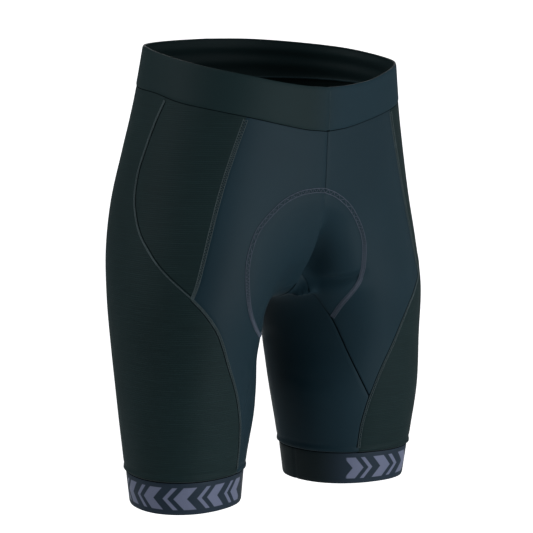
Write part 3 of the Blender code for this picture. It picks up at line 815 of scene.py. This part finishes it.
class Shade:
    """A shader socket that takes Python's arithmetic."""

    def __init__(self, tree, socket):
        self.tree, self.socket = tree, socket

    def node(self, kind, sockets=None, out=0, **settings):
        """Adds any node: its settings first, then its sockets' values or links."""
        made = self.tree.nodes.new(kind)
        for name, value in settings.items():
            setattr(made, name, value)
        for key, value in (sockets or {}).items():
            if isinstance(value, Shade):
                self.tree.links.new(value.socket, made.inputs[key])
            else:
                made.inputs[key].default_value = value
        return Shade(self.tree, made.outputs[out])

    def math(self, operation, *values):
        return self.node("ShaderNodeMath", dict(enumerate(values)), operation=operation)

    def __add__(self, other): return self.math("ADD", self, other)
    def __radd__(self, other): return self.math("ADD", other, self)
    def __sub__(self, other): return self.math("SUBTRACT", self, other)
    def __rsub__(self, other): return self.math("SUBTRACT", other, self)
    def __mul__(self, other): return self.math("MULTIPLY", self, other)
    def __rmul__(self, other): return self.math("MULTIPLY", other, self)
    def __truediv__(self, other): return self.math("DIVIDE", self, other)
    def __rtruediv__(self, other): return self.math("DIVIDE", other, self)
    def __abs__(self): return self.math("ABSOLUTE", self)

    def sin(self): return self.math("SINE", self)

    def clamp(self, low=0.0, high=1.0):
        return self.math("MINIMUM", self.math("MAXIMUM", self, low), high)

    def step(self, start, end):
        """0 below start, 1 above end, smooth between."""
        sockets = {"Value": self, 1: start, 2: end}
        return self.node("ShaderNodeMapRange", sockets, interpolation_type="SMOOTHSTEP")

    def between(self, start, end):
        """1 between two soft edges, each of which is where it begins and where it is complete."""
        return self.step(*start) * (1 - self.step(*end))

    def mix(self, first, second):
        """Colours mixed by this share."""
        return self.node("ShaderNodeMix", {0: self, 6: first, 7: second}, out=2, data_type="RGBA")


class Cloth:
    """A new Principled material and the coordinates that its patterns read."""

    def __init__(self, name, roughness, sheen, sheen_roughness, specular):
        self.material = bpy.data.materials.new(name)
        self.material.use_nodes = True
        self.tree = self.material.node_tree
        self.shader = self.tree.nodes["Principled BSDF"]
        self.shader.inputs["Roughness"].default_value = roughness
        self.shader.inputs["Sheen Weight"].default_value = sheen
        self.shader.inputs["Sheen Roughness"].default_value = sheen_roughness
        self.shader.inputs["Specular IOR Level"].default_value = specular
        self.root = Shade(self.tree, None)
        self.uv = self.root.node("ShaderNodeUVMap")
        self.place = self.root.node("ShaderNodeTexCoord", out=3)
        apart = self.root.node("ShaderNodeSeparateXYZ", {0: self.uv})
        self.u = apart
        self.v = Shade(self.tree, apart.socket.node.outputs[1])

    def noise(self, scale):
        return self.root.node("ShaderNodeTexNoise", {"Vector": self.place, "Scale": scale, "Detail": 3.0})

    def stretched_noise(self, across, along):
        """Noise in cloth coordinates, drawn out one way."""
        sockets = {0: self.uv, 1: (across, along, 1.0)}
        scaled = self.root.node("ShaderNodeVectorMath", sockets, operation="MULTIPLY")
        return self.root.node("ShaderNodeTexNoise", {"Vector": scaled, "Scale": 1.0, "Detail": 2.0})

    def finish(self, colour, roughness=None, height=None, strength=0.0, distance=0.0, inner=None):
        """Links the finished patterns up; inner is a darker colour for the cloth's inner face, painted shade
        for the dark inside of the shorts.
        """
        inputs = self.shader.inputs
        if inner is not None:
            # Painted shade: the inner face takes the darker inner colour, for the shade inside the shorts.
            inside = self.root.node("ShaderNodeAttribute", out=2, attribute_name="inside")
            colour = inside.step(0.3, 0.7).mix(colour, inner)
        self.tree.links.new(colour.socket, inputs["Base Color"])
        if roughness is not None:
            self.tree.links.new(roughness.socket, inputs["Roughness"])
        if height is not None:
            sockets = {"Strength": strength, "Distance": distance, "Height": height}
            bump = self.root.node("ShaderNodeBump", sockets)
            self.tree.links.new(bump.socket, inputs["Normal"])
        return self.material


def rgba(colour, gain=1.0):
    return (*[channel * gain for channel in colour], 1.0)


def wave(coordinate, pitch):
    """0 to 1 and back, once for each pitch."""
    return (coordinate * (2 * np.pi / pitch)).sin() * 0.5 + 0.5


def knit_height(cloth, knit):
    """Plain knit: narrow upright columns of loops, crossed by rows."""
    column, row = knit
    columns = abs((cloth.u * (np.pi / column)).sin())
    lean = (cloth.u * (2 * np.pi / column)).sin() * (row * 0.25)
    return columns * 0.6 + wave(cloth.v + lean, row) * 0.4


@lru_cache(maxsize=None)
def smooth_knit():
    cloth = Cloth("smooth_knit", roughness=0.52, sheen=0.06, sheen_roughness=0.35, specular=0.16)
    base = colours().smooth_knit
    patchy = cloth.noise(9.0).step(0.35, 0.65)
    fine = cloth.stretched_noise(1400.0, 500.0)
    tint = (patchy * 0.35 + fine * 0.5).clamp()
    return cloth.finish(tint.mix(rgba(base, 0.86), rgba(base, 1.16)), roughness=0.48 + fine * 0.12,
                        height=knit_height(cloth, FINE_KNIT) + fine * 0.5, strength=0.35, distance=0.00015,
                        inner=rgba(base, 0.5))


@lru_cache(maxsize=None)
def ribbed_knit():
    cloth = Cloth("ribbed_knit", roughness=0.60, sheen=0.07, sheen_roughness=0.4, specular=0.13)
    base = colours().ribbed_knit
    waver = cloth.stretched_noise(18.0, 300.0)
    rib = wave(cloth.v + waver * 0.0012, RIB_PITCH)
    fine = cloth.stretched_noise(500.0, 1500.0)
    uneven = cloth.stretched_noise(30.0, 420.0).step(0.25, 0.75)
    patchy = cloth.noise(8.0).step(0.3, 0.7)
    tint = (rib * uneven * 0.55 + fine * 0.3 + patchy * 0.25).clamp()
    height = rib * uneven + knit_height(cloth, COARSE_KNIT) * 0.35 + fine * 0.4
    return cloth.finish(tint.mix(rgba(base, 0.74), rgba(base, 1.30)), roughness=0.55 + fine * 0.15,
                        height=height, strength=0.5, distance=0.00025, inner=rgba(base, 0.5))


@lru_cache(maxsize=None)
def waistband_knit():
    """The waistband's knit, which is bluer and lighter towards the wearer's left, where it takes the smooth
    panels' colour.
    """
    cloth = Cloth("waistband_knit", roughness=0.58, sheen=0.06, sheen_roughness=0.4, specular=0.15)
    base, blue = colours().waistband_knit, colours().smooth_knit
    left = cloth.root.node("ShaderNodeSeparateXYZ", {0: cloth.place}).step(-0.030, 0.022)
    fine = cloth.stretched_noise(600.0, 1400.0)
    patchy = cloth.noise(10.0).step(0.3, 0.7)
    tint = (fine * 0.6 + patchy * 0.3).clamp()
    dark, light = left.mix(rgba(base, 0.85), rgba(blue, 0.98)), left.mix(rgba(base, 1.2), rgba(blue, 1.3))
    return cloth.finish(tint.mix(dark, light), roughness=0.52 + fine * 0.14,
                        height=knit_height(cloth, FINE_KNIT) + fine * 0.6, strength=0.35, distance=0.00018,
                        inner=rgba(base, 0.70))


@lru_cache(maxsize=None)
def band_elastic():
    """The leg band's dense weave, with a plain printed motif on its front outer half."""
    cloth = Cloth("band_elastic", roughness=0.50, sheen=0.06, sheen_roughness=0.3, specular=0.18)
    base, bare = colours().band, colours().bare_band
    weave = wave(cloth.u, BAND_WEAVE[0]) * wave(cloth.v, BAND_WEAVE[1])
    fine = cloth.stretched_noise(900.0, 900.0)
    girth = 2 * np.pi * BAND_RADIUS
    around_leg = (cloth.root.math("FRACT", cloth.u / girth + 0.5) - 0.5) * girth
    region = around_leg.between(PRINT["starts"], PRINT["ends"])
    printed_half = around_leg.between(PRINT["ground_starts"], PRINT["ground_ends"])
    ground = fine.mix(printed_half.mix(rgba(bare, 0.85), rgba(base, 0.85)),
                      printed_half.mix(rgba(bare, 1.2), rgba(base, 1.2)))
    off_middle = abs((cloth.v - (HEM + LEG_BAND_TOP) / 2) / (sizes().motif_height / 2))
    phase = cloth.root.math("FRACT", (around_leg + off_middle * PRINT["slant"]) / PRINT["period"])
    chevrons = phase.between(*PRINT["wide"]) + phase.between(*PRINT["narrow"])
    print_mask = (chevrons * (1 - off_middle.step(*PRINT["margin"])) * region).clamp()
    worn = (print_mask * (0.86 + fine * 0.2)).clamp()
    return cloth.finish(worn.mix(ground, rgba(colours().printed)), roughness=0.52 - print_mask * 0.18,
                        height=weave + print_mask * 0.8, strength=0.4, distance=0.00025,
                        inner=rgba(bare, 0.8))


@lru_cache(maxsize=None)
def sweep_paper():
    """Pale paper that glows white behind the shorts."""
    cloth = Cloth("sweep_paper", roughness=0.9, sheen=0.0, sheen_roughness=0.5, specular=0.1)
    glow = cloth.v.step(SWEEP["white_from"], SWEEP["white_to"])
    side = abs(cloth.u) - cloth.v * SWEEP["white_spread"]
    half_width = SWEEP["white_half_width"]
    glow = glow * (1 - side.step(half_width, half_width + SWEEP["white_edge"]))
    cloth.shader.inputs["Emission Strength"].default_value = 1.0
    cloth.tree.links.new(glow.mix((0, 0, 0, 1), (1, 1, 1, 1)).socket, cloth.shader.inputs["Emission Color"])
    return cloth.finish(cloth.noise(3.0).mix((0.80, 0.80, 0.80, 1), (0.83, 0.83, 0.83, 1)))


@lru_cache(maxsize=None)
def thread_material(kind):
    """Sewing thread, also used for the painted shadow lines and for the raised edges painted lighter as
    highlights; its twist runs along the stitch.
    """
    shine = 0.0 if kind == "plain_seam" else 1.0
    cloth = Cloth(kind + "_thread", roughness=0.50, sheen=0.08 * shine, sheen_roughness=0.4,
                  specular=0.18 * shine)
    base = getattr(colours(), kind)
    twist = wave(cloth.u + cloth.v * 1.5, THREAD_TWIST)
    colour = (twist * 0.5 + cloth.noise(240.0) * 0.5).clamp().mix(rgba(base, 0.55), rgba(base, 1.35))
    return cloth.finish(colour, height=twist, strength=0.5, distance=0.0001)


# Stitching

def surface_at(line, side):
    """The dressed cloth at points of the form, and its outward directions."""
    way = normal(line)
    return line + way * cloth_rise(line, side)[..., None], way


def add_tube(bm, path, way, across, width, height):
    """A soft thread along a path: half its section shows above the cloth."""
    turn = np.linspace(0, 2 * np.pi, THREAD_STEPS + 1)
    ring = (across[:, None] * (np.cos(turn) * width / 2)[None, :, None]
            + way[:, None] * (np.sin(turn) * height / 2)[None, :, None])
    verts = sheet(bm, path[:, None] + ring)
    uv = np.broadcast_arrays(run_along(path)[:, None], turn[None] * width / THREAD_STEPS)
    set_uv(bm, verts, np.stack(uv, axis=-1))


def even_line(line, way, steps):
    """A line on cloth cut into equal steps, with its directions outward and across."""
    fine = resample(np.concatenate((line, way), axis=1), steps)
    centre, facing = fine[:, :3], unit(fine[:, 3:])
    return centre, facing, directions_across(centre, facing)


def add_zigzag(bm, line, way, width, pitch, thread, lift, taper):
    """One thread that crosses a seam from edge to edge, again and again."""
    stitches = max(int(run_length(line) / pitch), 2)
    centre, facing, across = even_line(line, way, stitches * STITCH_STEPS)
    there_and_back = np.array((0, 1, 2)) * STITCH_STEPS
    swing = np.interp(np.arange(len(centre)) % (2 * STITCH_STEPS), there_and_back, (-1, 1, -1))
    bow = 1 - STITCH_BOW * swing ** 2
    reach = swing * width / 2 * np.linspace(1, taper, len(centre))
    path = centre + across * reach[:, None] + facing * (lift * bow)[:, None]
    add_tube(bm, path, facing, directions_across(path, facing), thread, thread * THREAD_HEIGHT)


def add_line(bm, line, way, offset, width, height, lift, taper=1.0):
    """A smooth raised line beside a seam; taper is the share of its offset that is left at its end."""
    steps = max(int(run_length(line) * LINE_STEPS_PER_METRE), 4)
    centre, facing, across = even_line(line, way, steps)
    path = centre + across * (offset * np.linspace(1, taper, len(centre)))[:, None] + facing * lift
    add_tube(bm, path, facing, across, width, height)


def flatlock(bm, line, side, width, pitch, thread, raised=0.0, taper=1.0):
    """A flat seam: two edge lines with a thread that crosses between them, drawn together by taper."""
    placed, way = surface_at(line, side)
    placed = placed + way * raised
    for offset in (-width / 2, width / 2):
        add_line(bm, placed, way, offset, thread * EDGE_WIDTH, thread, thread * EDGE_LIFT, taper)
    add_zigzag(bm, placed, way, width, pitch, thread, thread * CROSSING_LIFT, taper)


def sewn_piece(name, side, kind, build):
    """One half's stitching: built on the left half, and mirrored for the right one."""
    bm = bmesh.new()
    build(bm, side)
    if side == "right":
        bmesh.ops.scale(bm, vec=(-1.0, 1.0, 1.0), verts=bm.verts)
    return finish_piece(bm, f"{name}_{side}", thread_material(kind))


# Pieces

def walls(grid, way, rise, thickness, mirror_x):
    """A cloth's outer and inner faces: on the left half for 1, and on the right for -1."""
    mirror = np.array((mirror_x, 1.0, 1.0))
    return [(grid + way * (rise - depth)[..., None]) * mirror for depth in (0.0, thickness)]


def dip(away, depth, width):
    """A groove in the cloth, by the distance away from it."""
    return -depth * bell(away, width)


def make_panel(kind, material):
    """Both sides' panel of one kind, each with its own creases."""
    grid, way = panel(kind)
    left, right, top, bottom = edge_runs(grid)
    nearest = np.minimum(np.minimum(left, right), top)
    if kind in ("front", "hip"):
        nearest = np.minimum(nearest, bottom)
    ditch = dip(nearest, sizes().seam_ditch, DITCH_WIDTH)
    for side, mirror_x in SIDES:
        rise = ditch + cloth_rise(grid, side) + (pad_rise(grid, side) if kind == "front" else 0)
        outer, inner = walls(grid, way, rise, sizes().panel_wall, mirror_x)
        piece = shell(f"{kind}_panel_{side}", material, outer, inner, cloth_uv(grid), False,
                      (f"{kind}_{side}",))


def waistband_half(angles, rim_column):
    """One half of the waistband: points on the form from the rim down, with their outward directions."""
    rim, seam = waist_edge(rim_column, angles), waist_edge("seam", angles)
    for k, side in ((0, -1), (-1, 1)):
        rim[k], seam[k] = centre_edge(rim_column, side), centre_edge("seam", side)
    shares = np.linspace(0, 1, WAIST_ROWS + 1)[:, None, None]
    half = settle(rim[None] * (1 - shares) + seam[None] * shares)
    return half, normal(half)


def around(left, right):
    """A closed row of columns: the left half, then the right one's mirror image, back to the front."""
    other = (right * np.array((-1.0, 1.0, 1.0)))[:, -2:0:-1]
    return np.concatenate((left, other, left[:, :1]), axis=1)


def make_waistband():
    angles = angle_of(seams()["waist"])
    halves = {"outer": [], "inner": [], "form": []}
    for column in ("rim_left", "rim_right"):
        half, way = waistband_half(angles, column)
        below_rim = np.linalg.norm(half - half[:1], axis=-1)
        above_seam = below_rim[-1:] - below_rim
        outer = WAISTBAND["proud"] + dip(below_rim, *WAISTBAND["rim"]) + dip(above_seam, *WAISTBAND["foot"])
        outer = outer + dip(half[..., 0], *WAISTBAND["front"]) * (half[..., 1] < 0)
        tiers = 0.5 - 0.5 * np.cos(2 * np.pi * below_rim / TIERS["pitch"])
        tiers = TIERS["depth"] * tiers * bell(above_seam - TIERS["deepest"], TIERS["width"])
        inner = outer - sizes().waistband_wall - tiers
        for name, depth in (("outer", outer), ("inner", inner), ("form", 0 * outer)):
            wall = half + way * depth[..., None]
            wall[:, (0, -1), 0] = 0.0
            halves[name].append(wall)
    outer, inner, grid = (around(*halves[name]) for name in ("outer", "inner", "form"))
    u = edge_runs(grid)[0].mean(axis=0)
    uv = np.stack(np.broadcast_arrays(u[None], grid[..., 2]), axis=-1)
    piece = shell("waistband_cloth", waistband_knit(), outer, inner, uv, True, ("waistband",))


def make_leg_bands():
    seat_angles, inner_angles = angle_of(seams()["seat_hem"]), angle_of(seams()["inner_hem"])
    angles = np.unwrap(np.concatenate((seat_angles, inner_angles[-2::-1] + 2 * np.pi)))
    heights = np.linspace(LEG_BAND_TOP, HEM, LEG_BAND_ROWS + 1)
    grid = at(*np.meshgrid(angles, heights))
    way = normal(grid)
    join = np.remainder(np.degrees(angles) - BAND_JOIN_ANGLE + 180.0, 360.0) - 180.0
    rise = (LEG_BAND["proud"] + dip(LEG_BAND_TOP - grid[..., 2], *LEG_BAND["top"])
            + dip(grid[..., 2] - HEM, *LEG_BAND["hem"]) + dip(join, *LEG_BAND["join"]))
    uv = np.stack(np.broadcast_arrays(angles[None] * BAND_RADIUS, grid[..., 2]), axis=-1)
    for side, mirror_x in SIDES:
        outer, inner = walls(grid, way, rise, sizes().leg_band_wall, mirror_x)
        piece = shell(f"leg_band_cloth_{side}", band_elastic(), outer, inner, uv, True,
                      (f"leg_band_{side}",))


def make_hip_stitching():
    width, thread = sizes().flatlock_width, sizes().thread

    def build(bm, side):
        for row in FLATLOCKS:
            flat = dict(zip(FLATLOCK_COLUMNS, row))
            line = seams()[flat["seam"]][flat["start"]:flat["end"]]
            flatlock(bm, line, side, width * flat["width"], flat["pitch"], thread * flat["thread"],
                     taper=flat["taper"])

    for side, _ in SIDES:
        sewn_piece("hip_stitching", side, "flatlock", build)


def make_pad_stitching():
    def build(bm, side):
        flatlock(bm, pad_line(side)[0], side, sizes().pad_stitch_width, PAD_STITCH["pitch"], sizes().thread,
                 raised=PAD_STITCH["raised"])

    for side, _ in SIDES:
        sewn_piece("pad_stitching", side, "pad_stitch", build)


def plain_lines(name):
    """What draws one piece's dark lines or raised edges on a half."""
    def build(bm, side):
        for row in LINES:
            line = dict(zip(LINE_COLUMNS, row))
            if line["piece"] == name and line["half"] in (side, "both"):
                placed, way = surface_at(seams()[line["seam"]][line["start"]:], side)
                offset = sizes().flatlock_width * line["share"] + line["offset"]
                width = line["width"] or sizes().seam_line_width
                add_line(bm, placed, way, offset, width, LINE_HEIGHT, line["lift"])
    return build


def make_plain_seams():
    """The dark lines where pieces are sewn plainly, the painted shadow lines beside the flat seams, and the
    raised edges that lie beside some seams, painted lighter as highlights.
    """
    for side, _ in SIDES:
        sewn_piece("waist_seam", side, "plain_seam", plain_lines("waist_seam"))
        sewn_piece("waist_ridge", side, "seam_ridge", plain_lines("waist_ridge"))
        sewn_piece("panel_seams", side, "plain_seam", plain_lines("panel_seams"))
    sewn_piece("front_ridge", "left", "seam_ridge", plain_lines("front_ridge"))


def toward(azimuth, elevation):
    """The direction from the shorts to what stands at this azimuth and elevation."""
    level = np.cos(elevation)
    return Vector((np.sin(azimuth) * level, -np.cos(azimuth) * level, np.sin(elevation)))


def stand(name, data, way, distance):
    """Places a light or the camera, turned to the middle of the shorts."""
    placed = bpy.data.objects.new(name, data)
    placed.location = Vector((0.0, 0.0, CAMERA_HEIGHT)) + way * distance
    placed.rotation_euler = way.to_track_quat("Z", "Y").to_euler()
    bpy.context.scene.collection.objects.link(placed)
    return placed


def stage():
    """A pale sweep, soft studio lights and the camera."""
    scene = bpy.context.scene
    azimuth, elevation = sizes().camera_azimuth, sizes().camera_elevation
    ahead = np.array((-np.sin(azimuth), np.cos(azimuth), 0.0))
    right = np.array((np.cos(azimuth), np.sin(azimuth), 0.0))

    # The floor runs back and curves up into the backdrop; its UVs are across and along
    turn = np.linspace(0, np.pi / 2, BEND_COLUMNS + 1)[1:]
    flat, bend = SWEEP["flat"], SWEEP["bend"]
    floor = np.linspace(-flat, flat, FLAT_COLUMNS)
    along = np.concatenate((floor, flat + bend * np.sin(turn), (flat + bend,)))
    height = np.concatenate((np.zeros(FLAT_COLUMNS), bend * (1 - np.cos(turn)), (bend + SWEEP["rise"],)))
    height = height + HEM - SWEEP["below_hem"]
    across = np.linspace(-SWEEP["half_width"], SWEEP["half_width"], FLAT_COLUMNS)
    grid = (along[:, None, None] * ahead + across[None, :, None] * right
            + height[:, None, None] * np.array((0.0, 0.0, 1.0)))
    bm = bmesh.new()
    set_uv(bm, sheet(bm, grid), np.stack(np.broadcast_arrays(across[None], along[:, None]), axis=-1))
    smooth_object(bm, "sweep", sweep_paper())

    world = bpy.data.worlds.new("studio")
    world.use_nodes = True
    background = world.node_tree.nodes["Background"]
    background.inputs["Color"].default_value = (*STUDIO_TINT, 1.0)
    background.inputs["Strength"].default_value = WORLD_STRENGTH
    scene.world = world
    scene.view_settings.view_transform = "Standard"

    for row in LIGHTS:
        light = dict(zip(LIGHT_COLUMNS, row))
        data = bpy.data.lights.new(light["name"], "AREA")
        data.size, data.energy, data.color = light["size"], light["power"], STUDIO_TINT
        way = toward(azimuth + np.radians(light["right"]), np.radians(light["up"]))
        stand(light["name"], data, way, light["distance"])

    data = bpy.data.cameras.new("camera")
    data.sensor_width, data.lens = SENSOR_WIDTH, LENS
    scene.camera = stand("camera", data, toward(azimuth, elevation), sizes().camera_distance)


# Operators, panel and registration

class SHORTS_OT_front_panels(bpy.types.Operator):
    """Builds the front panels of smooth knit"""
    bl_idname = "shorts.front_panels"
    bl_label = "Front panels"

    def execute(self, context):
        make_panel("front", smooth_knit())
        return {"FINISHED"}


class SHORTS_OT_hip_panels(bpy.types.Operator):
    """Builds the ribbed panels on the hips"""
    bl_idname = "shorts.hip_panels"
    bl_label = "Hip panels"

    def execute(self, context):
        make_panel("hip", ribbed_knit())
        return {"FINISHED"}


class SHORTS_OT_seat_panels(bpy.types.Operator):
    """Builds the ribbed panels of the seat and the outer thighs"""
    bl_idname = "shorts.seat_panels"
    bl_label = "Seat panels"

    def execute(self, context):
        make_panel("seat", ribbed_knit())
        return {"FINISHED"}


class SHORTS_OT_inner_leg_panels(bpy.types.Operator):
    """Builds the panels inside the legs"""
    bl_idname = "shorts.inner_leg_panels"
    bl_label = "Inner leg panels"

    def execute(self, context):
        make_panel("inner_leg", smooth_knit())
        return {"FINISHED"}


class SHORTS_OT_waistband(bpy.types.Operator):
    """Builds the doubled waistband"""
    bl_idname = "shorts.waistband"
    bl_label = "Waistband"

    def execute(self, context):
        make_waistband()
        return {"FINISHED"}


class SHORTS_OT_leg_bands(bpy.types.Operator):
    """Builds the elastic bands round the hems"""
    bl_idname = "shorts.leg_bands"
    bl_label = "Leg bands"

    def execute(self, context):
        make_leg_bands()
        return {"FINISHED"}


class SHORTS_OT_hip_stitching(bpy.types.Operator):
    """Sews the flat seams of the hips and thighs"""
    bl_idname = "shorts.hip_stitching"
    bl_label = "Hip stitching"

    def execute(self, context):
        make_hip_stitching()
        return {"FINISHED"}


class SHORTS_OT_pad_stitching(bpy.types.Operator):
    """Sews the line that holds the seat pad"""
    bl_idname = "shorts.pad_stitching"
    bl_label = "Pad stitching"

    def execute(self, context):
        make_pad_stitching()
        return {"FINISHED"}


class SHORTS_OT_plain_seams(bpy.types.Operator):
    """Draws the plain seams between the other pieces, the painted shadow lines beside the flat seams, and
    raised edges painted lighter as highlights
    """
    bl_idname = "shorts.plain_seams"
    bl_label = "Plain seams"

    def execute(self, context):
        make_plain_seams()
        return {"FINISHED"}


class SHORTS_OT_stage(bpy.types.Operator):
    """Sets the floor, the lights and the camera"""
    bl_idname = "shorts.stage"
    bl_label = "Studio"

    def execute(self, context):
        stage()
        return {"FINISHED"}


OPERATORS = (SHORTS_OT_hip_stitching, SHORTS_OT_pad_stitching, SHORTS_OT_plain_seams, SHORTS_OT_front_panels,
             SHORTS_OT_hip_panels, SHORTS_OT_seat_panels, SHORTS_OT_inner_leg_panels, SHORTS_OT_waistband,
             SHORTS_OT_leg_bands, SHORTS_OT_stage)


class SHORTS_PT_sidebar(bpy.types.Panel):
    """Lists the shorts' pieces"""
    bl_idname = "SHORTS_PT_sidebar"
    bl_label = "Cycling shorts"
    bl_space_type = "VIEW_3D"
    bl_region_type = "UI"
    bl_category = "Shorts"

    def draw(self, context):
        for operator in OPERATORS:
            self.layout.operator(operator.bl_idname)
        for group in (context.scene.shorts_sizes, context.scene.shorts_colours):
            box = self.layout.box()
            for name in group.bl_rna.properties.keys():
                if name not in ("rna_type", "name"):
                    box.prop(group, name)


CLASSES = (ShortsSizes, ShortsColours, *OPERATORS, SHORTS_PT_sidebar)


def register():
    for item in CLASSES:
        bpy.utils.register_class(item)
    bpy.types.Scene.shorts_sizes = PointerProperty(type=ShortsSizes)
    bpy.types.Scene.shorts_colours = PointerProperty(type=ShortsColours)


def unregister():
    del bpy.types.Scene.shorts_colours
    del bpy.types.Scene.shorts_sizes
    for item in reversed(CLASSES):
        bpy.utils.unregister_class(item)


def main():
    register()
    bpy.ops.shorts.hip_stitching()
    bpy.ops.shorts.pad_stitching()
    bpy.ops.shorts.plain_seams()
    bpy.ops.shorts.front_panels()
    bpy.ops.shorts.hip_panels()
    bpy.ops.shorts.seat_panels()
    bpy.ops.shorts.inner_leg_panels()
    bpy.ops.shorts.waistband()
    bpy.ops.shorts.leg_bands()
    bpy.ops.shorts.stage()


if __name__ == "__main__":
    main()
